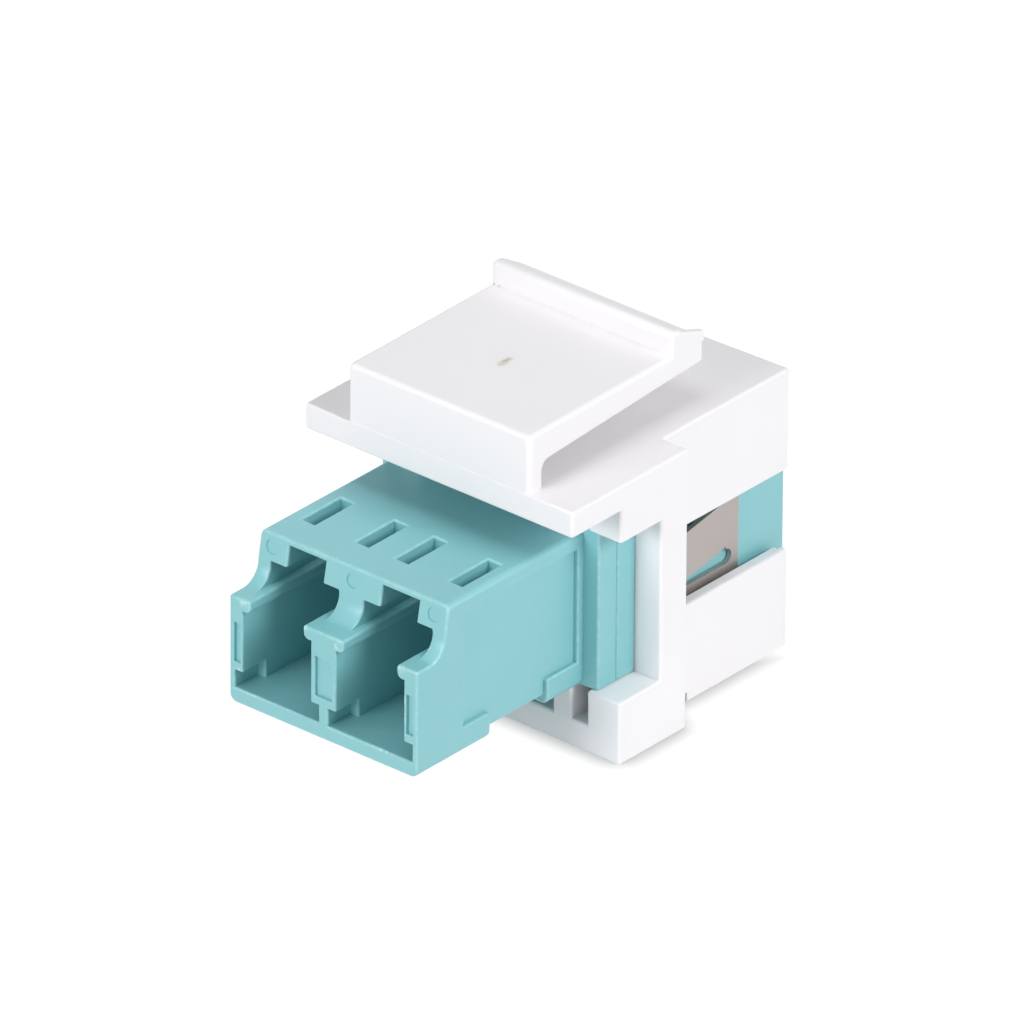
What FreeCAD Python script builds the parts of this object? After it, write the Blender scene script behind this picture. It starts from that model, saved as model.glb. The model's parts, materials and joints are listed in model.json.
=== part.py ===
import FreeCAD, Part
import math
import os
import Sketcher

# A duplex fibre adapter, two plug ports at each end, clipped into a white keystone housing.
# X is the width, +Y points to the front of the panel and Z is up. The adapter's weld seam lies
# at Y = 0, the part is symmetric about X = 0, and the housing stands on Z = 0.

# Each size in millimetres, under its own name
SIZES = (
    # Keystone housing
    ("flange_half_width", 8.95, "middle to side of plate, flange and foot"),
    ("snout_half_width", 7.26, "middle to side of the snout"),
    ("housing_height", 16.13, "floor to the top of plate and snout"),
    ("floor_thick", 1.5, "wall under the adapter"),
    ("plate_thick", 1.5, "wall over the adapter"),
    ("snout_wall", 0.51, "side wall of the snout"),
    ("seat_height", 3.5, "floor to the rails that carry the adapter"),
    ("rail_inside", 4.45, "middle to the near side of a rail"),
    ("rail_width", 1.27, "width of a rail"),
    ("plate_reach", 5.53, "seam to the rear edge of the plate"),
    ("foot_reach", 1.7, "seam to the rear face of the foot"),
    ("column_thick", 2.12, "wall between the adapter's rib and the panel"),
    ("snout_length", 10.0, "panel stop to the front face"),
    ("side_window_bottom", 5.61, "floor to the side window"),
    ("side_window_height", 4.63, "height of the side window"),
    ("window_setback", 0.4, "panel stop to the side window"),
    ("groove_width", 2.05, "panel groove under the snout"),
    ("groove_depth", 0.5, "how far the panel's edge enters"),
    ("plate_corner", 0.2, "radius of the plate's rear corners"),
    ("flange_corner", 0.2, "radius of the flange's front corners"),
    ("snout_corner", 0.2, "radius of the snout's front corners"),
    # Spring latch
    ("latch_half_width", 6.06, "middle to side of the latch"),
    ("latch_setback", 0.02, "step from the plate's edge to the latch"),
    ("latch_root", 1.05, "thickness of the upright root"),
    ("latch_corner", 0.3, "radius of the root's rear corners"),
    ("latch_gap", 1.5, "slot between plate and arm at the root"),
    ("slot_end_radius", 0.55, "rounded top of the slot's closed end"),
    ("arm_thick", 1.8, "thickness of the arm at the root"),
    ("arm_rise", 0.15, "how far the arm climbs to its free end"),
    ("arm_taper", 0.55, "how much thinner the arm is at its free end"),
    ("panel_gap", 2.0, "panel stop to the catch ridge"),
    ("ridge_height", 1.25, "catch ridge above the arm"),
    ("ridge_round", 0.35, "radius of the ridge's catching edge"),
    ("ridge_flat", 0.7, "depth of the ridge's top"),
    ("ridge_length", 2.56, "catch ridge to the free end"),
    ("ridge_slope", 1.15, "drop of the lead-in slope"),
    ("flex_height", 1.1, "plate to the line that the latch bends about"),
    ("flex_margin", 0.28, "bending surface beyond half the root"),
    ("flex_gap", 0.03, "gap between the two bending surfaces"),
    # Adapter halves
    ("half_length", 14.4, "seam to port face"),
    ("seat_gap", 0.02, "clearance of the adapter in the housing"),
    ("adapter_half_width", 6.28, "middle to side"),
    ("adapter_height", 8.95, "underside to top"),
    ("top_edge", 0.35, "radius of the long upper edges"),
    ("bottom_edge", 0.45, "radius of the long lower edges"),
    ("rib_half_width", 7.28, "middle to side of the mounting rib"),
    ("rib_height", 9.2, "height of the mounting rib"),
    ("rib_thick", 1.45, "thickness of one half's rib"),
    ("port_pitch", 6.25, "distance between the two ports"),
    ("port_width", 4.55, "width of a port"),
    ("port_floor", 0.87, "wall under a port"),
    ("bulkhead", 1.0, "wall between port and seam"),
    ("jaw_height", 6.13, "underside to the top of the jaws"),
    ("nose_height", 0.75, "height of the guide rail in the port"),
    ("nose_reach", 0.5, "how far the guide rail stands out"),
    ("nose_round", 0.35, "radius under the guide rail"),
    ("lip_setback", 2.45, "port face to the top of the upper lip"),
    ("lip_lean", 0.3, "slope of the upper lip"),
    ("lip_radius", 1.15, "hollow between jaw and lip"),
    ("shoulder_height", 7.48, "underside to the lip's shoulders"),
    ("slot_width", 2.42, "slot for the plug's lever"),
    ("slot_roof", 0.35, "wall over the lever slot"),
    ("catch_width", 0.85, "width of a catch window"),
    ("catch_length", 3.0, "length of a catch window"),
    ("catch_spread", 1.8, "port middle to a catch window's middle"),
    ("catch_start", 4.55, "port face to the catch windows"),
    ("relief_depth", 1.8, "depth of the relief beside the port floor"),
    ("relief_height", 0.98, "height of the relief"),
    ("relief_reach", 0.53, "how far the relief widens the port"),
    ("pocket_depth", 0.2, "hollows in the jaws' faces"),
    ("pocket_bottom", 2.35, "underside to the hollows"),
    ("pocket_height", 2.28, "height of the hollows"),
    ("pocket_rim", 0.3, "rim round the hollows"),
    ("panel_depth", 0.27, "sunken panel in each side"),
    ("panel_start", 3.65, "port face to the panel"),
    ("panel_end", 12.5, "port face to the panel's end"),
    ("panel_top", 8.05, "underside to the panel's top"),
    ("block_height", 1.5, "height of the blocks under the panel"),
    ("saddle_start", 5.73, "port face to the clip's saddle"),
    ("saddle_end", 10.15, "port face to the saddle's end"),
    ("saddle_depth", 0.5, "depth of the saddle"),
    # Ceramic sleeves and their holders
    ("ferrule_height", 3.15, "underside to the ferrule's middle"),
    ("sleeve_bore", 0.625, "inner radius of a sleeve"),
    ("sleeve_wall", 0.185, "wall of a sleeve"),
    ("sleeve_length", 6.8, "length of a sleeve"),
    ("sleeve_slit", 0.25, "slit along a sleeve"),
    ("sleeve_gap", 0.04, "clearance of a sleeve in its holder"),
    ("holder_wall", 0.45, "wall of a holder tube"),
    ("holder_stop", 0.6, "end wall that keeps the sleeve in"),
    ("ferrule_gap", 0.075, "clearance of a ferrule in that wall"),
    ("lead_in", 0.2, "how far that hole widens to the port"),
    # Steel clip
    ("clip_thick", 0.28, "sheet thickness"),
    ("clip_gap", 0.04, "clearance of the clip on the adapter"),
    ("clip_bend", 0.1, "inner radius of the bends"),
    ("clip_strip", 0.9, "height of the strip under the tongue"),
    ("tongue_height", 2.7, "width of the sheet tongue"),
    ("tongue_root", 4.65, "port face to the tongue's bend"),
    ("tongue_flare", 0.88, "how far the tongue springs out"),
    ("tongue_land", 0.6, "straight end that bears on the housing"),
    ("tongue_slit", 0.4, "free space past the tongue's end"),
    ("slit_end", 0.42, "radius of the rounded slit ends"),
)

doc = FreeCAD.newDocument("KeystoneFibreAdapter")
sheet = doc.addObject("Spreadsheet::Sheet", "Sizes")
for row, (alias, value, note) in enumerate(SIZES, start=1):
    sheet.set(f"A{row}", note)
    sheet.set(f"B{row}", str(value))
    sheet.setAlias(f"B{row}", alias)
doc.recompute()


class Length:
    """A length in millimetres together with the formula that ties it to the sheet."""

    def __init__(self, value, formula):
        self.value = value
        self.formula = formula

    def __add__(self, other):
        return Length(self.value + other.value, f"({self.formula} + {other.formula})")

    def __sub__(self, other):
        return Length(self.value - other.value, f"({self.formula} - {other.formula})")

    def __neg__(self):
        return Length(-self.value, f"(-{self.formula})")

    def __mul__(self, factor):
        return Length(self.value * factor, f"({self.formula} * {factor})")

    def short_side(self, side):
        """The other short side of a right triangle that has this longest side."""
        rest = math.sqrt(self.value ** 2 - side.value ** 2)
        return Length(rest, f"sqrt({self.formula} ^ 2 - {side.formula} ^ 2)")


def size(alias):
    return Length(float(sheet.get(alias)), f"Sizes.{alias}")


NIL = Length(0.0, "0")
BOTH_SIDES = (-1, 1)
TOUCH = 1e-5

# Levels and planes that several pieces share
housing_top = size("housing_height")
plate_bottom = housing_top - size("plate_thick")
adapter_bottom = size("seat_height") + size("seat_gap")
adapter_top = adapter_bottom + size("adapter_height")
rib_top = adapter_bottom + size("rib_height") + size("seat_gap")
column_back = size("rib_thick") + size("seat_gap")
panel_stop = column_back + size("column_thick")
front_face = panel_stop + size("snout_length")
window_back = panel_stop + size("window_setback")
latch_rear = size("latch_setback") - size("plate_reach")
latch_inner = latch_rear + size("latch_root")
half_root = size("latch_root") * 0.5
flex_y = latch_rear + half_root
flex_z = housing_top + size("flex_height")
flex_radius = half_root + size("flex_margin")
port_middle = size("port_pitch") * 0.5
port_half = size("port_width") * 0.5
port_face = -size("half_length")
port_bottom = adapter_bottom + size("port_floor")
jaw_top = adapter_bottom + size("jaw_height")
ferrule_z = adapter_bottom + size("ferrule_height")
sleeve_outer = size("sleeve_bore") + size("sleeve_wall")


def new_body(label):
    body = doc.addObject("PartDesign::Body", label)
    body.Label = label
    return body


def origin_plane(body, role):
    return next(item for item in body.Origin.OriginFeatures if item.Role == role)


def new_sketch(body, name, role, offset=NIL):
    """A sketch on one of the body's own planes, moved along the plane's normal."""
    sketch = body.newObject("Sketcher::SketchObject", name)
    sketch.AttachmentSupport = [(origin_plane(body, role), "")]
    sketch.MapMode = "FlatFace"
    sketch.AttachmentOffset = FreeCAD.Placement(FreeCAD.Vector(0, 0, offset.value), FreeCAD.Rotation())
    sketch.setExpression("AttachmentOffset.Base.z", offset.formula)
    return sketch


def tie(sketch, kind, length, *points):
    constraint = sketch.addConstraint(Sketcher.Constraint(kind, *points, length.value))
    sketch.setExpression(f"Constraints[{constraint}]", length.formula)


def tie_point(sketch, edge, point, place):
    tie(sketch, "DistanceX", place[0], -1, 1, edge, point)
    tie(sketch, "DistanceY", place[1], -1, 1, edge, point)


def flat(place):
    return FreeCAD.Vector(place[0].value, place[1].value, 0)


def add_loop(sketch, corners, arcs=None):
    """Draw a closed outline. arcs maps a corner's number to the radius and centre of the edge after it."""
    arcs = arcs or {}
    ends = []
    for number, corner in enumerate(corners):
        start = flat(corner)
        end = flat(corners[(number + 1) % len(corners)])
        if number not in arcs:
            edge = sketch.addGeometry(Part.LineSegment(start, end), False)
            ends.append((edge, 1, 2))
            continue
        radius, centre = arcs[number]
        middle = flat(centre)
        first = math.atan2(start.y - middle.y, start.x - middle.x)
        last = math.atan2(end.y - middle.y, end.x - middle.x)
        forward = (last - first) % (2 * math.pi) < math.pi
        sweep = (first, last) if forward else (last, first)
        circle = Part.Circle(middle, FreeCAD.Vector(0, 0, 1), radius.value)
        edge = sketch.addGeometry(Part.ArcOfCircle(circle, *sweep), False)
        ends.append((edge, 1, 2) if forward else (edge, 2, 1))
    for number, corner in enumerate(corners):
        edge, start, end = ends[number]
        next_edge, next_start, _ = ends[(number + 1) % len(corners)]
        sketch.addConstraint(Sketcher.Constraint("Coincident", edge, end, next_edge, next_start))
        tie_point(sketch, edge, start, corner)
        if number in arcs:
            tie(sketch, "Radius", arcs[number][0], edge)


def add_box(sketch, low, high):
    add_loop(sketch, [low, (high[0], low[1]), high, (low[0], high[1])])


def add_circle(sketch, centre, radius):
    circle = Part.Circle(flat(centre), FreeCAD.Vector(0, 0, 1), radius.value)
    edge = sketch.addGeometry(circle, False)
    tie_point(sketch, edge, 3, centre)
    tie(sketch, "Radius", radius, edge)


def check_gain(feature, before, grows):
    """Make sure that a feature changed its solid the right way."""
    gained = feature.Shape.Volume - before
    if (gained > 0) != grows or abs(gained) < TOUCH:
        raise ValueError(f"{feature.Name} did not change its solid")


def extrude(body, kind, sketch, length=None, symmetric=False, reverse=False):
    """Pad or pocket a sketch."""
    before = body.Shape.Volume if body.Tip else 0.0
    feature = body.newObject(f"PartDesign::{kind}", f"{sketch.Name}{kind}")
    feature.Profile = sketch
    feature.SideType = "Symmetric" if symmetric else "One side"
    feature.Reversed = reverse
    if length is None:
        feature.Type = "ThroughAll"
    else:
        feature.setExpression("Length", length.formula)
    doc.recompute()
    check_gain(feature, before, kind == "Pad")
    return feature


def turn_out(body, name, sketch, start, end):
    """Cut away what a sketch sweeps in a full turn about the line from start to end."""
    before = body.Shape.Volume
    axis = sketch.addGeometry(Part.LineSegment(flat(start), flat(end)), True)
    tie_point(sketch, axis, 1, start)
    tie_point(sketch, axis, 2, end)
    groove = body.newObject("PartDesign::Groove", name)
    groove.Profile = sketch
    groove.ReferenceAxis = (sketch, ["Axis0"])
    doc.recompute()
    check_gain(groove, before, False)
    return groove


def mirror(body, name, features):
    """Repeat features on the other side of the plane of symmetry."""
    mirrored = body.newObject("PartDesign::Mirrored", name)
    mirrored.Originals = features
    mirrored.MirrorPlane = (origin_plane(body, "YZ_Plane"), [""])
    body.Tip = mirrored
    doc.recompute()


def round_uprights(body, name, radius, side, depth):
    """Round the upright edges that stand at this distance from the middle and this depth."""
    names = []
    for number, edge in enumerate(body.Tip.Shape.Edges, start=1):
        box = edge.BoundBox
        place = abs(abs(box.Center.x) - side.value) + abs(box.Center.y - depth.value)
        if box.XLength + box.YLength + place < TOUCH:
            names.append(f"Edge{number}")
    fillet_base = body.Tip
    fillet = body.newObject("PartDesign::Fillet", name)
    fillet.Base = (fillet_base, names)
    fillet.setExpression("Radius", radius.formula)
    doc.recompute()


def make_frame():
    """The housing: a plate and flange with a recess for the adapter's rib, and the snout in front."""
    body = new_body("keystone_frame")
    width = size("flange_half_width")
    snout = size("snout_half_width")
    seat = size("seat_height")
    foot = -size("foot_reach")
    plate = -size("plate_reach")

    side = new_sketch(body, "FlangeSide", "YZ_Plane")
    add_loop(side, [
        (plate, plate_bottom), (plate, housing_top), (panel_stop, housing_top), (panel_stop, NIL),
        (foot, NIL), (foot, seat), (column_back, seat), (column_back, rib_top),
        (foot, rib_top), (foot, plate_bottom),
    ])
    extrude(body, "Pad", side, width * 2, symmetric=True)

    front = new_sketch(body, "SnoutFront", "XZ_Plane", -panel_stop)
    add_box(front, (-snout, NIL), (snout, housing_top))
    extrude(body, "Pad", front, size("snout_length"), reverse=True)

    # The way through for the adapter, with two rails below it and two above
    opening = snout - size("snout_wall")
    inside = size("rail_inside")
    outside = inside + size("rail_width")
    upper_rail = adapter_top + size("seat_gap")
    floor = size("floor_thick")
    way = new_sketch(body, "Way", "XZ_Plane")
    add_loop(way, [
        (-opening, floor), (-outside, floor), (-outside, seat), (-inside, seat), (-inside, floor),
        (inside, floor), (inside, seat), (outside, seat), (outside, floor), (opening, floor),
        (opening, plate_bottom), (outside, plate_bottom), (outside, upper_rail), (inside, upper_rail),
        (inside, plate_bottom), (-inside, plate_bottom), (-inside, upper_rail), (-outside, upper_rail),
        (-outside, plate_bottom), (-opening, plate_bottom),
    ])
    extrude(body, "Pocket", way, symmetric=True)

    # Side windows for the clip's tongues, open at the front face
    window_low = size("side_window_bottom")
    windows = new_sketch(body, "SideWindows", "YZ_Plane")
    add_box(windows, (window_back, window_low), (front_face, window_low + size("side_window_height")))
    extrude(body, "Pocket", windows, symmetric=True)

    groove = new_sketch(body, "PanelGroove", "YZ_Plane")
    add_box(groove, (panel_stop, NIL), (panel_stop + size("groove_width"), size("groove_depth")))
    extrude(body, "Pocket", groove, symmetric=True)

    # The lower stump of the latch's root, hollowed to the arc that the latch bends on
    rim = flex_z - flex_radius.short_side(half_root)
    stump = new_sketch(body, "LatchStump", "YZ_Plane")
    add_loop(
        stump,
        [(latch_rear, housing_top), (latch_inner, housing_top), (latch_inner, rim), (latch_rear, rim)],
        {2: (flex_radius, (flex_y, flex_z))},
    )
    extrude(body, "Pad", stump, size("latch_half_width") * 2, symmetric=True)

    round_uprights(body, "PlateCorners", size("plate_corner"), width, plate)
    round_uprights(body, "FlangeCorners", size("flange_corner"), width, panel_stop)
    round_uprights(body, "SnoutCorners", size("snout_corner"), snout, front_face)
    round_uprights(body, "StumpCorners", size("latch_corner"), size("latch_half_width"), latch_rear)
    return body


def make_latch():
    """The spring latch: upright root, arm and catch ridge in one profile."""
    body = new_body("keystone_latch")
    radius = flex_radius - size("flex_gap")
    rim = flex_z - radius.short_side(half_root)
    bend = size("slot_end_radius")
    under = housing_top + size("latch_gap")
    arm_top = under + size("arm_thick")
    rise = size("arm_rise")
    ridge = panel_stop + size("panel_gap")
    ridge_top = arm_top + rise + size("ridge_height")
    edge = size("ridge_round")
    tip = ridge + size("ridge_length")

    side = new_sketch(body, "LatchSide", "YZ_Plane")
    add_loop(
        side,
        [
            (latch_rear, rim), (latch_inner, rim), (latch_inner, under - bend), (latch_inner + bend, under),
            (tip, under + rise + size("arm_taper")), (tip, ridge_top - size("ridge_slope")),
            (ridge + size("ridge_flat"), ridge_top), (ridge + edge, ridge_top),
            (ridge, ridge_top - edge), (ridge, arm_top + rise), (latch_rear, arm_top),
        ],
        {
            0: (radius, (flex_y, flex_z)),
            2: (bend, (latch_inner + bend, under - bend)),
            7: (edge, (ridge + edge, ridge_top - edge)),
        },
    )
    extrude(body, "Pad", side, size("latch_half_width") * 2, symmetric=True)
    round_uprights(body, "RootCorners", size("latch_corner"), size("latch_half_width"), latch_rear)
    return body


def add_port(sketch, side):
    """One port's section: floor, walls with a guide rail each, shoulders and the lever slot."""
    reach = port_half - size("nose_reach")
    bend = size("nose_round")
    nose = jaw_top - size("nose_height")
    shoulder = adapter_bottom + size("shoulder_height")
    slot = size("slot_width") * 0.5
    slot_top = adapter_top - size("slot_roof")
    right = [
        (port_half, port_bottom), (port_half, nose), (reach + bend, nose), (reach, nose + bend),
        (reach, jaw_top), (port_half, jaw_top), (port_half, shoulder), (slot, shoulder), (slot, slot_top),
    ]
    left = [(-across, height) for across, height in reversed(right)]
    middle = port_middle * side
    corners = [(middle + across, height) for across, height in right + left]
    centre = reach + bend
    arcs = {
        2: (bend, (middle + centre, nose + bend)),
        len(corners) - 4: (bend, (middle - centre, nose + bend)),
    }
    add_loop(sketch, corners, arcs)


def make_half(label, turn):
    """One welded half of the adapter, its ports opening at the rear before it is turned."""
    body = new_body(label)
    width = size("adapter_half_width")
    upper = size("top_edge")
    lower = size("bottom_edge")
    length = size("half_length")

    shell = new_sketch(body, "Shell", "XZ_Plane")
    add_loop(
        shell,
        [
            (lower - width, adapter_bottom), (width - lower, adapter_bottom),
            (width, adapter_bottom + lower), (width, adapter_top - upper),
            (width - upper, adapter_top), (upper - width, adapter_top),
            (-width, adapter_top - upper), (-width, adapter_bottom + lower),
        ],
        {
            1: (lower, (width - lower, adapter_bottom + lower)),
            3: (upper, (width - upper, adapter_top - upper)),
            5: (upper, (upper - width, adapter_top - upper)),
            7: (lower, (lower - width, adapter_bottom + lower)),
        },
    )
    extrude(body, "Pad", shell, length)

    rib = new_sketch(body, "Rib", "XZ_Plane")
    rib_side = size("rib_half_width")
    add_box(rib, (-rib_side, adapter_bottom), (rib_side, adapter_bottom + size("rib_height")))
    extrude(body, "Pad", rib, size("rib_thick"))

    # The mouth: level jaws, then a hollow that sweeps up into the lip
    bend = size("lip_radius")
    lip = port_face + size("lip_setback")
    foot = lip - size("lip_lean")
    mouth = new_sketch(body, "Mouth", "YZ_Plane")
    add_loop(
        mouth,
        [
            (port_face, jaw_top), (foot - bend, jaw_top), (foot, jaw_top + bend),
            (lip, adapter_top), (port_face, adapter_top),
        ],
        {1: (bend, (foot - bend, jaw_top + bend))},
    )
    extrude(body, "Pocket", mouth, symmetric=True)

    ports = new_sketch(body, "Ports", "XZ_Plane", length)
    for side in BOTH_SIDES:
        add_port(ports, side)
    extrude(body, "Pocket", ports, length - size("bulkhead"))

    # Reliefs that widen the mouth beside the floor
    reliefs = new_sketch(body, "Reliefs", "XZ_Plane", length)
    wide = port_half + size("relief_reach")
    for side in BOTH_SIDES:
        middle = port_middle * side
        add_box(reliefs, (middle - wide, port_bottom), (middle + wide, port_bottom + size("relief_height")))
    extrude(body, "Pocket", reliefs, size("relief_depth"))

    # Shallow hollows in the faces of the divider and the outer walls
    rim = size("pocket_rim")
    low = adapter_bottom + size("pocket_bottom")
    high = low + size("pocket_height")
    divider = port_middle - port_half - rim
    hollows = new_sketch(body, "Hollows", "XZ_Plane", length)
    add_box(hollows, (-divider, low), (divider, high))
    wall_inside = port_middle + port_half + rim * 0.5
    add_box(hollows, (wall_inside, low), (width - rim, high))
    add_box(hollows, (rim - width, low), (-wall_inside, high))
    extrude(body, "Pocket", hollows, size("pocket_depth"))

    # Windows in the top that the plug's lever catches in
    windows = new_sketch(body, "CatchWindows", "XY_Plane", adapter_top)
    start = port_face + size("catch_start")
    half_catch = size("catch_width") * 0.5
    for side in BOTH_SIDES:
        for flank in BOTH_SIDES:
            middle = port_middle * side + size("catch_spread") * flank
            add_box(windows, (middle - half_catch, start), (middle + half_catch, start + size("catch_length")))
    extrude(body, "Pocket", windows, size("adapter_height") - size("shoulder_height"))

    # Sunken side panels and the saddle for the clip under the body
    panel_low = adapter_bottom + size("block_height")
    panel_high = adapter_bottom + size("panel_top")
    panel = new_sketch(body, "SidePanel", "YZ_Plane", width)
    add_loop(panel, [
        (port_face + size("panel_start"), panel_low), (port_face + size("saddle_start"), panel_low),
        (port_face + size("saddle_start"), adapter_bottom), (port_face + size("saddle_end"), adapter_bottom),
        (port_face + size("saddle_end"), panel_low), (port_face + size("panel_end"), panel_low),
        (port_face + size("panel_end"), panel_high), (port_face + size("panel_start"), panel_high),
    ])
    sunk = extrude(body, "Pocket", panel, size("panel_depth"))
    mirror(body, "SidePanels", [sunk])
    saddle = new_sketch(body, "Saddle", "YZ_Plane")
    add_box(
        saddle,
        (port_face + size("saddle_start"), adapter_bottom),
        (port_face + size("saddle_end"), adapter_bottom + size("saddle_depth")),
    )
    extrude(body, "Pocket", saddle, symmetric=True)

    # Holder tubes for the sleeves, each with a funnel in its end wall that guides the ferrule
    bore = sleeve_outer + size("sleeve_gap")
    bore_depth = size("sleeve_length") * 0.5 + size("sleeve_gap")
    tube_end = bore_depth + size("holder_stop")
    throat = size("sleeve_bore") + size("ferrule_gap")
    tubes = new_sketch(body, "HolderTubes", "XZ_Plane", size("bulkhead"))
    bores = new_sketch(body, "SleeveBores", "XZ_Plane")
    for side in BOTH_SIDES:
        centre = (port_middle * side, ferrule_z)
        add_circle(tubes, centre, bore + size("holder_wall"))
        add_circle(bores, centre, bore)
    extrude(body, "Pad", tubes, tube_end - size("bulkhead"))
    extrude(body, "Pocket", bores, bore_depth, reverse=True)
    funnel = new_sketch(body, "Funnel", "XY_Plane", ferrule_z)
    mouth_middle = (port_middle, -tube_end)
    throat_middle = (port_middle, -bore_depth)
    add_loop(funnel, [
        mouth_middle, (port_middle + throat + size("lead_in"), -tube_end),
        (port_middle + throat, -bore_depth), throat_middle,
    ])
    funnel_cut = turn_out(body, "FunnelCut", funnel, mouth_middle, throat_middle)
    mirror(body, "OtherFunnel", [funnel_cut])
    body.Placement = FreeCAD.Placement(FreeCAD.Vector(), FreeCAD.Rotation(FreeCAD.Vector(0, 0, 1), turn))
    return body


def make_clip():
    """The folded clip: a web under the front half, a wing on each side and a tongue cut out of each wing."""
    body = new_body("retaining_clip")
    gap = size("clip_gap")
    thick = size("clip_thick")
    bend = size("clip_bend")
    face = size("half_length")
    inner = size("adapter_half_width") - size("panel_depth") + gap
    outer = inner + thick
    web_top = adapter_bottom + size("saddle_depth") - gap
    web_bottom = web_top - thick
    wing_low = adapter_bottom + size("block_height") + gap
    wing_high = adapter_bottom + size("panel_top") - gap
    leg_top = wing_low + size("clip_strip")

    # Web and legs, folded from one strip that fills the saddle
    right = [
        (outer, leg_top), (outer, web_bottom + bend + thick), (outer - bend - thick, web_bottom),
        (bend + thick - outer, web_bottom), (-outer, web_bottom + bend + thick), (-outer, leg_top),
        (-inner, leg_top), (-inner, web_top + bend), (bend - inner, web_top),
        (inner - bend, web_top), (inner, web_top + bend), (inner, leg_top),
    ]
    bend_height = web_top + bend
    strip = new_sketch(body, "Strip", "XZ_Plane", size("saddle_start") + gap - face)
    add_loop(strip, right, {
        1: (bend + thick, (inner - bend, bend_height)),
        3: (bend + thick, (bend - inner, bend_height)),
        7: (bend, (bend - inner, bend_height)),
        9: (bend, (inner - bend, bend_height)),
    })
    strip_width = size("saddle_end") - size("saddle_start") - gap * 2
    extrude(body, "Pad", strip, strip_width)

    # A wing with its window, and the tongue that springs out of it
    root = face - size("tongue_root")
    tip = window_back + gap
    knee = tip + size("tongue_land")
    slit_low = leg_top
    slit_high = wing_high - size("clip_strip")
    wing = new_sketch(body, "Wing", "YZ_Plane", inner)
    add_box(wing, (face - size("panel_end") + gap, wing_low), (face - size("panel_start") - gap, wing_high))
    add_box(wing, (tip - size("tongue_slit"), slit_low), (root, slit_high))
    wing_pad = extrude(body, "Pad", wing, thick)

    middle = (slit_low + slit_high) * 0.5
    half_tongue = size("tongue_height") * 0.5
    flare = size("tongue_flare")
    tongue = new_sketch(body, "Tongue", "XY_Plane", middle - half_tongue)
    add_loop(tongue, [
        (inner, root), (outer, root), (outer + flare, knee),
        (outer + flare, tip), (inner + flare, tip), (inner + flare, knee),
    ])
    tongue_pad = extrude(body, "Pad", tongue, size("tongue_height"))
    mirror(body, "OtherWing", [wing_pad, tongue_pad])

    radius = size("slit_end")
    slit_ends = new_sketch(body, "SlitEnds", "YZ_Plane")
    add_circle(slit_ends, (root, slit_low + radius), radius)
    add_circle(slit_ends, (root, slit_high - radius), radius)
    extrude(body, "Pocket", slit_ends, symmetric=True)
    return body


def make_sleeve(label, side):
    """A split sleeve on the axis of one pair of ports."""
    body = new_body(label)
    centre = (port_middle * side, ferrule_z)
    ring = new_sketch(body, "Ring", "XZ_Plane")
    add_circle(ring, centre, sleeve_outer)
    add_circle(ring, centre, size("sleeve_bore"))
    extrude(body, "Pad", ring, size("sleeve_length"), symmetric=True)
    slit = new_sketch(body, "Slit", "XZ_Plane")
    half_slit = size("sleeve_slit") * 0.5
    add_box(slit, (centre[0] - half_slit, ferrule_z), (centre[0] + half_slit, ferrule_z + sleeve_outer))
    extrude(body, "Pocket", slit, symmetric=True)
    return body


pieces = [
    make_frame(),
    make_latch(),
    make_half("adapter_rear_half", 0),
    make_half("adapter_front_half", 180),
    make_clip(),
    make_sleeve("alignment_sleeve_left", -1),
    make_sleeve("alignment_sleeve_right", 1),
]
doc.recompute()

for item in doc.Objects:
    if "Invalid" in item.State or "Error" in item.State:
        raise ValueError(f"{item.Name} failed: {item.State}")
for piece in pieces:
    if piece.Shape.isNull() or not piece.Shape.isValid() or len(piece.Shape.Solids) != 1:
        raise ValueError(f"{piece.Label} is not one sound solid")

os.makedirs("parts", exist_ok=True)
for piece in pieces:
    piece.Shape.exportStep(f"parts/{piece.Label}.step")
    box = piece.Shape.BoundBox
    print(f"{piece.Label}: {piece.Shape.Volume:.2f} mm3, "
          f"x {box.XMin:.2f} to {box.XMax:.2f}, y {box.YMin:.2f} to {box.YMax:.2f}, "
          f"z {box.ZMin:.2f} to {box.ZMax:.2f}")
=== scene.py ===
import json
import math

import bmesh
import bpy
from mathutils import Matrix, Vector
from mathutils.bvhtree import BVHTree


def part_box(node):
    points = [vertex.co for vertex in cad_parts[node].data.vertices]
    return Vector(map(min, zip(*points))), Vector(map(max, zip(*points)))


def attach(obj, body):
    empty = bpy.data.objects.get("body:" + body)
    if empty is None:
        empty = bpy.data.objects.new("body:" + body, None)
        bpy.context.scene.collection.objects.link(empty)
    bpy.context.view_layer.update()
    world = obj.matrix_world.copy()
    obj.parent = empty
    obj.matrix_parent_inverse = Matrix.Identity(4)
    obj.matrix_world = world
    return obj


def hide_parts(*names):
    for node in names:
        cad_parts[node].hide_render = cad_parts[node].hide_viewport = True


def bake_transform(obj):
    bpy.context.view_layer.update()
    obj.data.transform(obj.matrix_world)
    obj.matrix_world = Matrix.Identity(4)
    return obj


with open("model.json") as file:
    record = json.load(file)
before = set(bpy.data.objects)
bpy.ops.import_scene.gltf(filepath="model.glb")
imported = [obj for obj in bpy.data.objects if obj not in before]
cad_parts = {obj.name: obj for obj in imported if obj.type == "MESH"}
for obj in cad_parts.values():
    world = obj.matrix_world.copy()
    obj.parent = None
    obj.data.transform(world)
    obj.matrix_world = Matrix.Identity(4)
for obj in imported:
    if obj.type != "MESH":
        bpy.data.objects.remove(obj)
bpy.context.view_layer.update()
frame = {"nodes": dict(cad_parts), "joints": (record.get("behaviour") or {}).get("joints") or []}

# The looks of a duplex fibre adapter in a white keystone housing. Lengths are in metres,
# in the frame of the solids: +Y points to the front of the panel and +Z is up.
MM = 0.001

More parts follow.
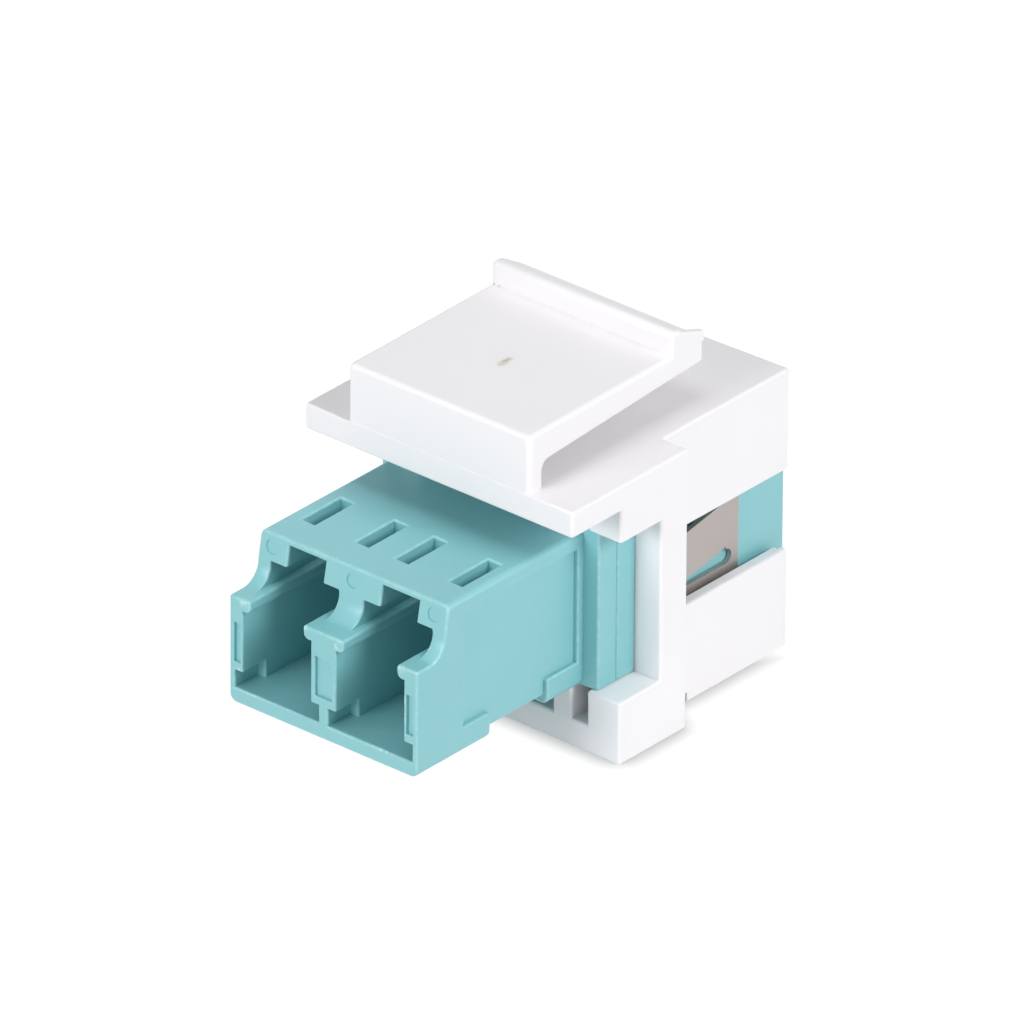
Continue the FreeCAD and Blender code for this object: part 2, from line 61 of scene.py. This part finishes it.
# Camera of the photograph: a long lens, seen from the rear, the right and above
LOOK_AT = Vector((0.0, 0.285, 10.599)) * MM
VIEW_DISTANCE = 1.20887
VIEW_AZIMUTH = 40.364
VIEW_ELEVATION = 28.753
VIEW_ROLL = 0.38
LENS = 834.65
SENSOR = 36.0

# Meshes: corners closer than this are one, faces that differ by less are flat together
WELD = 0.0002 * MM
MIRROR_WELD = 0.001 * MM
FLAT_ANGLE = math.radians(0.4)
STRIP_ANGLE = math.radians(12)
SHARP_ANGLE = math.radians(28)
CREASE_ANGLE = math.radians(40)
ROUND_STEPS = 3
FACE_SHARE = 0.38

# Softened edges of the two mouldings; those on top of the latch are wider
LATCH_ROUND = 0.27 * MM
LATCH_MIDDLE = 18.7 * MM
WHITE_ROUND = 0.18 * MM
AQUA_ROUND = 0.13 * MM

# Root of the spring latch, where the moulding bends
HINGE = Vector(frame["joints"][0]["pos_m"])
STUMP_REACH = 0.1 * MM
ROOT_DROP = 0.62 * MM
ROOT_OUTSET = 0.004 * MM
ROOT_BELOW = 0.9 * MM
ROOT_ABOVE = 0.37 * MM
ROOT_CUTS = 7

# Groove for the panel's lower edge, which stays sharp, as do the edges that the part stands on
GROOVE_BACK = 3.5 * MM
GROOVE_FRONT = 5.8 * MM
GROOVE_TOP = 0.6 * MM

# A lip along the side window's sill, which nearly closes the gap to the clip
LIP_LOW = Vector((6.63, 4.0, 4.6)) * MM
LIP_HIGH = Vector((7.0, 13.3, 5.61)) * MM

# The snout's top has sunk a little towards the left end of its front edge
TOP_LEVEL = 16.13 * MM
SNOUT_HALF = 7.27 * MM
SINK_DEPTH = 0.4 * MM
SINK_BACK = 4.5 * MM
SINK_CUTS = 9

# Flash at the right end of the catch ridge, on its lead-in slope: y and z of its corners
FLASH_THICK = 0.3 * MM
FLASH_PROFILE = ((6.2, 20.75), (8.1, 20.08), (8.1, 19.5), (6.2, 20.3))

# Hidden edges under the catch windows and round the sleeves, which stay sharp
SHOULDER = 11.0 * MM
SHOULDER_REACH = 0.05 * MM
HOLDER_SHARE = 0.9

# Witness marks of the ejector pins on the adapter's upper lip
PIN_SPREAD = 5.4 * MM
PIN_HEIGHT = 11.75 * MM
PIN_RADIUS = 0.42 * MM
PIN_DEPTH = 0.06 * MM
PIN_STEPS = 28

# Marks on the white moulding: place and half sizes in millimetres, colour and strength. The first row
# is painted shade of a shallow dimple round the gate
GATE = (-0.08, -0.24, 19.48)
SPECK_COLOUR = (0.5, 0.45, 0.3, 1)
MARKS = (
    # Painted shade of the shallow dimple round the gate, as a slightly greyer disc
    (GATE, (1.0, 1.3, 0.5), (0.84, 0.82, 0.82, 1), 0.5),
    (GATE, (0.3, 0.68, 0.5), (0.5, 0.4, 0.26, 1), 0.85),
    ((-5.84, 5.59, 19.58), (0.16, 0.3, 0.14), SPECK_COLOUR, 0.5),
    ((-5.46, 5.59, 19.58), (0.15, 0.3, 0.12), SPECK_COLOUR, 0.5),
)

# Pale torn spots at the mouths of the rear ports: place and half sizes in millimetres
TORN = (
    ((-5.33, -14.3, 9.4), (0.4, 0.7, 0.3)),
    ((-1.3, -14.4, 9.55), (0.35, 0.3, 0.2)),
    ((0.92, -14.35, 9.2), (0.3, 0.6, 0.35)),
    ((5.15, -14.4, 9.5), (0.45, 0.4, 0.25)),
    ((5.4, -12.7, 10.1), (0.25, 0.4, 0.4)),
    ((5.42, -14.4, 7.3), (0.16, 0.2, 1.5)),
    ((4.0, -14.4, 4.35), (0.8, 0.2, 0.12)),
    ((-0.76, -14.4, 5.15), (0.2, 0.2, 0.35)),
    ((-5.5, -14.4, 5.5), (0.35, 0.2, 0.2)),
)


def solid(node):
    """A node's shell as one bmesh, with shared corners and whole flat faces."""
    bm = bmesh.new()
    bm.from_mesh(frame["nodes"][node].data)
    flatten(bm)
    return bm


def flatten(bm):
    """Whole flat faces instead of triangles, and four-sided strips along round ones."""
    bmesh.ops.remove_doubles(bm, verts=bm.verts, dist=WELD)
    bmesh.ops.dissolve_limit(bm, angle_limit=FLAT_ANGLE, verts=bm.verts, edges=bm.edges)
    bmesh.ops.join_triangles(
        bm, faces=bm.faces, angle_face_threshold=STRIP_ANGLE, angle_shape_threshold=math.pi,
    )


def new_object(name, bm):
    mesh = bpy.data.meshes.new(name)
    bm.to_mesh(mesh)
    bm.free()
    obj = bpy.data.objects.new(name, mesh)
    bpy.context.scene.collection.objects.link(obj)
    return obj


def reshape(obj, change):
    """Apply a change to an object's mesh as a bmesh."""
    bm = bmesh.new()
    bm.from_mesh(obj.data)
    change(bm)
    bm.to_mesh(obj.data)
    bm.free()


def settle(obj):
    """Replace an object's mesh by what its modifiers make of it."""
    depsgraph = bpy.context.evaluated_depsgraph_get()
    shaped = bpy.data.meshes.new_from_object(obj.evaluated_get(depsgraph), depsgraph=depsgraph)
    obj.modifiers.clear()
    rough = obj.data
    obj.data = shaped
    bpy.data.meshes.remove(rough)


def combine(obj, other, operation):
    """Join another closed object to this one, or cut it away."""
    modifier = obj.modifiers.new("Combine", "BOOLEAN")
    modifier.operation = operation
    modifier.solver = "MANIFOLD"
    modifier.object = other
    settle(obj)
    bpy.data.objects.remove(other)


def cut(bm, faces, place, normal, clear=False):
    """Cut these faces along a plane, and leave out what is beyond it if asked."""
    touched = {*faces}
    for face in faces:
        touched.update(face.edges)
        touched.update(face.verts)
    bmesh.ops.bisect_plane(
        bm, geom=list(touched), plane_co=place, plane_no=normal, clear_outer=clear, dist=WELD,
    )


def is_smooth(edge):
    return len(edge.link_loops) == 2 and edge.calc_face_angle() < SHARP_ANGLE


def width_across(face, loop):
    """How far it is from the middle of one of a face's edges to the face's next sharp edge."""
    start = loop.vert.co
    along = (loop.link_loop_next.vert.co - start).normalized()
    inwards = face.normal.cross(along)
    middle = (start + loop.link_loop_next.vert.co) * 0.5
    nearest = math.inf
    for other in face.loops:
        if other is loop or is_smooth(other.edge):
            continue
        first = other.vert.co - middle
        second = other.link_loop_next.vert.co - middle
        left = first.dot(along)
        right = second.dot(along)
        if left * right > 0 or left == right:
            continue
        share = left / (left - right)
        depth = (first + (second - first) * share).dot(inwards)
        if depth > WELD:
            nearest = min(nearest, depth)
    return nearest


def soften(obj, width, keep_side, limit):
    """Round the outer edges of one half of a symmetrical object, and mirror that half.

    No rounding is wider than width, or than limit gives for its place.
    """

    def weigh(bm):
        cut(bm, bm.faces, (0, 0, 0), (-keep_side, 0, 0), clear=True)
        flatten(bm)
        bm.normal_update()
        weight = bm.edges.layers.float.new("bevel_weight_edge")
        for edge in bm.edges:
            if len(edge.link_loops) < 2 or edge.calc_face_angle_signed() < SHARP_ANGLE:
                continue
            middle = (edge.verts[0].co + edge.verts[1].co) * 0.5
            room = min(width_across(loop.face, loop) for loop in edge.link_loops)
            edge[weight] = min(limit(middle), FACE_SHARE * room) / width

    reshape(obj, weigh)
    # Rounded faces take the second of two slots, and so can be told apart afterwards
    for _ in range(2):
        obj.data.materials.append(None)
    bevel = obj.modifiers.new("Soften", "BEVEL")
    bevel.limit_method = "WEIGHT"
    bevel.width = width
    bevel.segments = ROUND_STEPS
    bevel.use_clamp_overlap = False
    bevel.material = 1
    mirror = obj.modifiers.new("Mirror", "MIRROR")
    mirror.merge_threshold = MIRROR_WELD
    settle(obj)
    edges = obj.data.attributes.new("edge", "FLOAT", "FACE")
    for polygon in obj.data.polygons:
        edges.data[polygon.index].value = polygon.material_index
        polygon.material_index = 0
    obj.data.materials.clear()


def mark_creases(bm):
    """Smooth faces, with a crease wherever two of them meet at a wide angle."""
    bm.normal_update()
    for face in bm.faces:
        face.smooth = True
    for edge in bm.edges:
        edge.smooth = edge.calc_face_angle(math.pi) < CREASE_ANGLE


def smooth(obj):
    """Shade round surfaces smoothly, keep flat faces flat, and note each point's place at rest."""
    reshape(obj, mark_creases)
    normals = obj.modifiers.new("Normals", "WEIGHTED_NORMAL")
    normals.weight = 100
    normals.keep_sharp = True
    settle(obj)
    rest = obj.data.attributes.new("rest", "FLOAT_VECTOR", "POINT")
    places = [value for vertex in obj.data.vertices for value in vertex.co]
    rest.data.foreach_set("vector", places)


def build_housing():
    """The white moulding: frame and latch in one skin, cut into narrow bands at the latch's root, where
    the real moulding bends.
    """
    arm = solid("keystone_latch")
    stump_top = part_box("keystone_frame")[1].z
    for vertex in arm.verts:
        if vertex.co.z < stump_top + STUMP_REACH:
            vertex.co.z -= ROOT_DROP
            vertex.co.x += math.copysign(ROOT_OUTSET, vertex.co.x)
            vertex.co.y += math.copysign(ROOT_OUTSET, vertex.co.y - HINGE.y)
    skin = new_object("housing_skin", solid("keystone_frame"))
    combine(skin, new_object("latch_arm", arm), "UNION")
    combine(skin, sill_lip(), "UNION")
    reshape(skin, flatten)

    root_low = HINGE.z - ROOT_BELOW
    root_high = HINGE.z + ROOT_ABOVE

    def limit(place):
        in_groove = place.z < GROOVE_TOP and GROOVE_BACK < place.y < GROOVE_FRONT
        on_lip = abs(place.x - LIP_LOW.x) < WELD and place.z > LIP_LOW.z
        if in_groove or on_lip or place.z < WELD:
            return 0.0
        return LATCH_ROUND if place.z > LATCH_MIDDLE else WHITE_ROUND

    def slice_root(bm):
        for step in range(ROOT_CUTS):
            level = root_low + (root_high - root_low) * step / (ROOT_CUTS - 1)
            cut(bm, bm.faces, (0, 0, level), (0, 0, 1))

    soften(skin, LATCH_ROUND, 1, limit)
    reshape(skin, sink_top)
    combine(skin, ridge_flash(), "UNION")
    reshape(skin, slice_root)
    smooth(skin)
    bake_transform(skin)
    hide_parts("keystone_frame", "keystone_latch")
    return skin


def sill_lip():
    """The lip of the right sill. The left one comes with the mirrored half."""
    bm = bmesh.new()
    place = Matrix.LocRotScale((LIP_LOW + LIP_HIGH) / 2, None, LIP_HIGH - LIP_LOW)
    bmesh.ops.create_cube(bm, size=1, matrix=place)
    return new_object("sill_lip", bm)


def sink_top(bm):
    """Let the top of the snout down slightly, most at the left end of its front edge."""
    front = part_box("keystone_frame")[1].y

    def upper():
        return [
            face for face in bm.faces
            if abs(face.calc_center_median().z - TOP_LEVEL) < WHITE_ROUND
        ]

    for step in range(1, SINK_CUTS):
        share = step / SINK_CUTS
        cut(bm, upper(), (SNOUT_HALF * (2 * share - 1), 0, 0), (1, 0, 0))
        cut(bm, upper(), (0, SINK_BACK + (front - SINK_BACK) * share, 0), (0, 1, 0))
    for vertex in {vertex for face in upper() for vertex in face.verts}:
        along = min(1.0, max(0.0, (vertex.co.y - SINK_BACK) / (front - SINK_BACK)))
        across = min(1.0, max(0.0, (SNOUT_HALF - vertex.co.x) / (2 * SNOUT_HALF)))
        vertex.co.z -= SINK_DEPTH * along ** 2 * across


def ridge_flash():
    """A thin wedge of flash that carries on the right end of the catch ridge."""
    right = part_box("keystone_latch")[1].x
    bm = bmesh.new()
    loops = [
        [bm.verts.new((across, y * MM, z * MM)) for y, z in FLASH_PROFILE]
        for across in (right, right - FLASH_THICK)
    ]
    outer, inner = loops
    bm.faces.new(outer)
    bm.faces.new(inner[::-1])
    for index, corner in enumerate(outer):
        bm.faces.new((corner, inner[index], inner[index - 1], outer[index - 1]))
    bmesh.ops.recalc_face_normals(bm, faces=bm.faces)
    return new_object("ridge_flash", bm)


def press_pin(shell, across):
    """Sink one ejector pin's mark into the upper lip of the rear half."""
    bm = bmesh.new()
    bm.from_mesh(shell.data)
    start = Vector((across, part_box("adapter_rear_half")[0].y, PIN_HEIGHT))
    place, normal, _, _ = BVHTree.FromBMesh(bm).ray_cast(start, Vector((0, 1, 0)))
    bm.free()
    pin = bmesh.new()
    bmesh.ops.create_cone(
        pin, cap_ends=True, segments=PIN_STEPS,
        radius1=PIN_RADIUS, radius2=PIN_RADIUS, depth=2 * PIN_DEPTH,
        matrix=Matrix.LocRotScale(place, normal.to_track_quat("Z", "Y"), None),
    )
    combine(shell, new_object("pin", pin), "DIFFERENCE")


def build_adapter():
    """The two aqua halves: one moulding, and the same turned half round."""
    rear = new_object("adapter_rear_shell", solid("adapter_rear_half"))
    low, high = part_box("alignment_sleeve_right")
    axis = (low + high) * 0.5
    holder = (high.x - low.x) * HOLDER_SHARE

    def limit(place):
        in_holder = math.hypot(abs(place.x) - axis.x, place.z - axis.z) < holder
        under_windows = abs(place.z - SHOULDER) < SHOULDER_REACH
        return 0.0 if in_holder or under_windows else AQUA_ROUND

    soften(rear, AQUA_ROUND, -1, limit)
    for across in (-PIN_SPREAD, 0, PIN_SPREAD):
        press_pin(rear, across)
    turned = rear.data.copy()
    turned.transform(Matrix.Rotation(math.pi, 4, "Z"))
    front = bpy.data.objects.new("adapter_front_shell", turned)
    bpy.context.scene.collection.objects.link(front)
    for shell, node in ((rear, "adapter_rear_half"), (front, "adapter_front_half")):
        dress(shell, node)
    return rear, front


def build_plain(name, node):
    """A small rigid piece: the node's shell."""
    piece = new_object(name, solid(node))
    dress(piece, node)
    return piece


def dress(piece, node):
    """A rigid piece of the housing's body that stands for one node."""
    smooth(piece)
    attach(piece, "housing")
    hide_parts(node)


class Nodes:
    """A node tree with short calls to add and link nodes."""

    def __init__(self, tree):
        self.tree = tree
        tree.nodes.clear()

    def add(self, kind, inputs=None, **properties):
        node = self.tree.nodes.new(kind)
        for name, value in properties.items():
            setattr(node, name, value)
        self.feed(node, inputs or {})
        return node

    def feed(self, node, inputs):
        for socket, value in inputs.items():
            if isinstance(value, bpy.types.NodeSocket):
                self.tree.links.new(value, node.inputs[socket])
            else:
                node.inputs[socket].default_value = value

    def math(self, operation, first, second):
        return self.add("ShaderNodeMath", {0: first, 1: second}, operation=operation).outputs[0]

    def spread(self, value, start, end, low, high):
        """Map a value from one range to another, and keep it in that range."""
        node = self.add("ShaderNodeMapRange", {
            "Value": value, "From Min": start, "From Max": end, "To Min": low, "To Max": high,
        })
        return node.outputs["Result"]

    def between(self, factor, first, second):
        node = self.add("ShaderNodeMix", data_type="RGBA")
        self.feed(node, {0: factor, 6: first, 7: second})
        return node.outputs[2]

    def seen_directly(self):
        """1 for rays from the camera, a mirror or glass, 0 for light that falls on things."""
        path = self.add("ShaderNodeLightPath").outputs
        mirrored = self.math("MAXIMUM", path["Is Glossy Ray"], path["Is Transmission Ray"])
        return self.math("MAXIMUM", path["Is Camera Ray"], mirrored)

    def choose(self, output, factor, first, second):
        """Link one of two shaders to the tree's output."""
        mix = self.add("ShaderNodeMixShader", {0: factor, 1: first.outputs[0], 2: second.outputs[0]})
        self.add(output, {"Surface": mix.outputs[0]})


class Finish(Nodes):
    """The material of one piece."""

    # Most of a noise's values lie in this range, and a blob is whole up to this share of its size
    NOISE_RANGE = (0.3, 0.7)
    BLOB_CORE = 0.35

    def __init__(self, name):
        self.material = bpy.data.materials.new(name)
        self.material.use_nodes = True
        super().__init__(self.material.node_tree)
        self.surface = self.add("ShaderNodeBsdfPrincipled")
        self.add("ShaderNodeOutputMaterial", {"Surface": self.surface.outputs["BSDF"]})
        self.place = self.add("ShaderNodeAttribute", attribute_name="rest").outputs["Vector"]

    def noise(self, grain, detail=3.0, stretch=(1, 1, 1)):
        """Noise with lumps of about this size, longer where stretch is smaller."""
        stretched = self.add("ShaderNodeMapping", {"Vector": self.place, "Scale": stretch})
        inputs = {"Vector": stretched.outputs["Vector"], "Scale": 1 / grain, "Detail": detail}
        return self.add("ShaderNodeTexNoise", inputs).outputs["Fac"]

    def blob(self, place, half_sizes):
        """1 in the middle of an ellipsoid, 0 outside it. Place and half sizes are in millimetres."""
        scale = [1 / (half * MM) for half in half_sizes]
        offset = [-value / half for value, half in zip(place, half_sizes)]
        local = self.add("ShaderNodeMapping", {
            "Vector": self.place, "Scale": scale, "Location": offset,
        })
        length = self.add("ShaderNodeVectorMath", {0: local.outputs["Vector"]}, operation="LENGTH")
        return self.spread(length.outputs["Value"], 1.0, self.BLOB_CORE, 0.0, 1.0)

    def vary(self, noise, low, high):
        """A value that follows a noise from low to high."""
        return self.spread(noise, *self.NOISE_RANGE, low, high)

    def edge(self):
        """1 on the rounded edges, 0 elsewhere."""
        return self.add("ShaderNodeAttribute", attribute_name="edge").outputs["Fac"]

    def bump(self, height, depth):
        node = self.add("ShaderNodeBump", {"Height": height, "Distance": depth})
        self.feed(self.surface, {"Normal": node.outputs["Normal"]})


def white_plastic():
    finish = Finish("white_plastic")
    tone = finish.between(finish.noise(4 * MM), (0.858, 0.844, 0.866, 1), (0.886, 0.872, 0.894, 1))
    ragged = finish.spread(finish.noise(0.25 * MM), 0.35, 0.6, 0.3, 1.0)
    # The first mark is painted shade of the dimple round the gate; the others are the gate's nub and
    # two specks
    for place, half_sizes, colour, strength in MARKS:
        mask = finish.math("MULTIPLY", finish.blob(place, half_sizes), ragged)
        tone = finish.between(finish.math("MULTIPLY", mask, strength), tone, colour)
    roughness = finish.vary(finish.noise(0.6 * MM), 0.44, 0.54)
    finish.feed(finish.surface, {"Base Color": tone, "Roughness": roughness})
    finish.bump(finish.noise(0.12 * MM), 0.002 * MM)
    return finish.material


def aqua_plastic():
    finish = Finish("aqua_plastic")
    tone = finish.between(finish.noise(3 * MM), (0.205, 0.514, 0.549, 1), (0.228, 0.544, 0.579, 1))
    # Rounded edges are painted paler in patches: a painted highlight along the edges
    edge_highlight = finish.spread(finish.noise(0.35 * MM, 5.0), 0.4, 0.7, 0.1, 0.5)
    tone = finish.between(finish.math("MULTIPLY", finish.edge(), edge_highlight), tone, (0.4, 0.7, 0.72, 1))
    ragged = finish.spread(finish.noise(0.2 * MM, 4.0), 0.42, 0.62, 0.0, 0.7)
    for place, half_sizes in TORN:
        spot = finish.math("MULTIPLY", finish.blob(place, half_sizes), ragged)
        tone = finish.between(spot, tone, (0.62, 0.82, 0.82, 1))
    roughness = finish.vary(finish.noise(0.5 * MM), 0.36, 0.5)
    finish.feed(finish.surface, {"Base Color": tone, "Roughness": roughness, "Specular IOR Level": 0.9})
    finish.bump(finish.noise(0.1 * MM), 0.002 * MM)
    return finish.material


def clip_steel():
    finish = Finish("clip_steel")
    lines = finish.noise(0.05 * MM, 4.0, (1, 1, 0.04))
    tone = finish.between(lines, (0.43, 0.39, 0.375, 1), (0.53, 0.49, 0.47, 1))
    roughness = finish.vary(lines, 0.42, 0.56)
    finish.feed(finish.surface, {"Base Color": tone, "Roughness": roughness, "Metallic": 1.0})
    finish.bump(lines, 0.002 * MM)
    return finish.material


def sleeve_ceramic():
    finish = Finish("sleeve_ceramic")
    tone = finish.between(finish.noise(0.8 * MM), (0.84, 0.83, 0.79, 1), (0.88, 0.87, 0.83, 1))
    roughness = finish.vary(finish.noise(0.2 * MM), 0.12, 0.2)
    finish.feed(finish.surface, {"Base Color": tone, "Roughness": roughness})
    return finish.material


# Studio: pale floor, even light from all round, and soft lamps on the right, at the rear and above
FLOOR_HALF = 1.5
FLOOR_COLOUR = (0.92, 0.92, 0.92, 1)
FLOOR_SEEN = (0.12, 0.12, 0.12, 1)
FLOOR_GLOW = 0.97
# The floor's contact shadow is painted shade: ambient occlusion within this depth dims its glow, and
# the painted shade fades out between these two distances towards the front
CONTACT_DEPTH = 1.4 * MM
CONTACT_FADE = (8 * MM, 13 * MM)
WORLD_LIGHT = 0.28
LAMP_DISTANCE = 1.0
LAMPS = (
    # name, azimuth, elevation, share of full brightness, width in metres
    ("right", 96, 32, 0.585, 0.45),
    ("rear", -8, 17, 0.52, 0.45),
    ("top", 0, 84, 0.22, 0.6),
)


def direction(azimuth, elevation):
    """From the object towards this azimuth and elevation. Azimuth 0 is the rear, 90 the right."""
    turn = math.radians(azimuth)
    rise = math.radians(elevation)
    return Vector((math.sin(turn) * math.cos(rise), -math.cos(turn) * math.cos(rise), math.sin(rise)))


def add_floor():
    """A floor that is white where seen directly, with a faint real shadow and a painted contact shadow
    close round the object's base.
    """
    bm = bmesh.new()
    bmesh.ops.create_grid(bm, x_segments=1, y_segments=1, size=FLOOR_HALF)
    floor = new_object("floor", bm)
    material = bpy.data.materials.new("floor")
    material.use_nodes = True
    nodes = Nodes(material.node_tree)
    # Painted contact shadow: ambient occlusion dims the floor's glow near the object, and less so
    # towards the front
    open_air = nodes.add("ShaderNodeAmbientOcclusion", {"Distance": CONTACT_DEPTH}).outputs["AO"]
    place = nodes.add("ShaderNodeNewGeometry").outputs["Position"]
    along = nodes.add("ShaderNodeSeparateXYZ", {"Vector": place}).outputs["Y"]
    painted_contact_shade = nodes.math("MAXIMUM", open_air, nodes.spread(along, *CONTACT_FADE, 0.0, 1.0))
    plain = nodes.add("ShaderNodeBsdfDiffuse", {"Color": FLOOR_COLOUR})
    pale = nodes.add("ShaderNodeBsdfDiffuse", {"Color": FLOOR_SEEN})
    glow = nodes.add("ShaderNodeEmission", {"Strength": nodes.math("MULTIPLY", painted_contact_shade, FLOOR_GLOW)})
    lit = nodes.add("ShaderNodeAddShader", {0: pale.outputs[0], 1: glow.outputs[0]})
    nodes.choose("ShaderNodeOutputMaterial", nodes.seen_directly(), plain, lit)
    floor.data.materials.append(material)


def add_world():
    world = bpy.data.worlds.new("studio")
    bpy.context.scene.world = world
    world.use_nodes = True
    nodes = Nodes(world.node_tree)
    light = nodes.add("ShaderNodeBackground", {"Color": (1, 1, 1, 1), "Strength": WORLD_LIGHT})
    white = nodes.add("ShaderNodeBackground", {"Color": (1, 1, 1, 1)})
    nodes.choose("ShaderNodeOutputWorld", nodes.seen_directly(), light, white)


def add_lamp(name, azimuth, elevation, share, width):
    """A soft lamp that gives a white surface facing it this share of full brightness."""
    lamp = bpy.data.lights.new(name, "AREA")
    lamp.shape = "DISK"
    lamp.size = width
    lamp.energy = share * (math.pi * LAMP_DISTANCE) ** 2
    holder = bpy.data.objects.new(name, lamp)
    towards = direction(azimuth, elevation)
    holder.location = LOOK_AT + towards * LAMP_DISTANCE
    holder.rotation_euler = towards.to_track_quat("Z", "Y").to_euler()
    bpy.context.scene.collection.objects.link(holder)


def add_camera():
    lens = bpy.data.cameras.new("camera")
    lens.lens = LENS
    lens.sensor_width = SENSOR
    lens.clip_start = VIEW_DISTANCE * 0.1
    lens.clip_end = VIEW_DISTANCE * 10
    camera = bpy.data.objects.new("camera", lens)
    back = direction(VIEW_AZIMUTH, VIEW_ELEVATION)
    roll = Matrix.Rotation(math.radians(VIEW_ROLL), 4, "Z")
    camera.matrix_world = Matrix.LocRotScale(
        LOOK_AT + back * VIEW_DISTANCE, back.to_track_quat("Z", "Y"), None,
    ) @ roll
    bpy.context.scene.collection.objects.link(camera)
    bpy.context.scene.camera = camera


housing = build_housing()
rear_half, front_half = build_adapter()
clip = build_plain("clip_sheet", "retaining_clip")
sleeves = [
    build_plain(f"sleeve_{side}", f"alignment_sleeve_{side}")
    for side in ("left", "right")
]

for pieces, finish in (
    ([housing], white_plastic()), ([rear_half, front_half], aqua_plastic()),
    ([clip], clip_steel()), (sleeves, sleeve_ceramic()),
):
    for piece in pieces:
        piece.data.materials.clear()
        piece.data.materials.append(finish)

add_floor()
add_world()
for lamp in LAMPS:
    add_lamp(*lamp)
add_camera()
bpy.context.scene.view_settings.view_transform = "Standard"
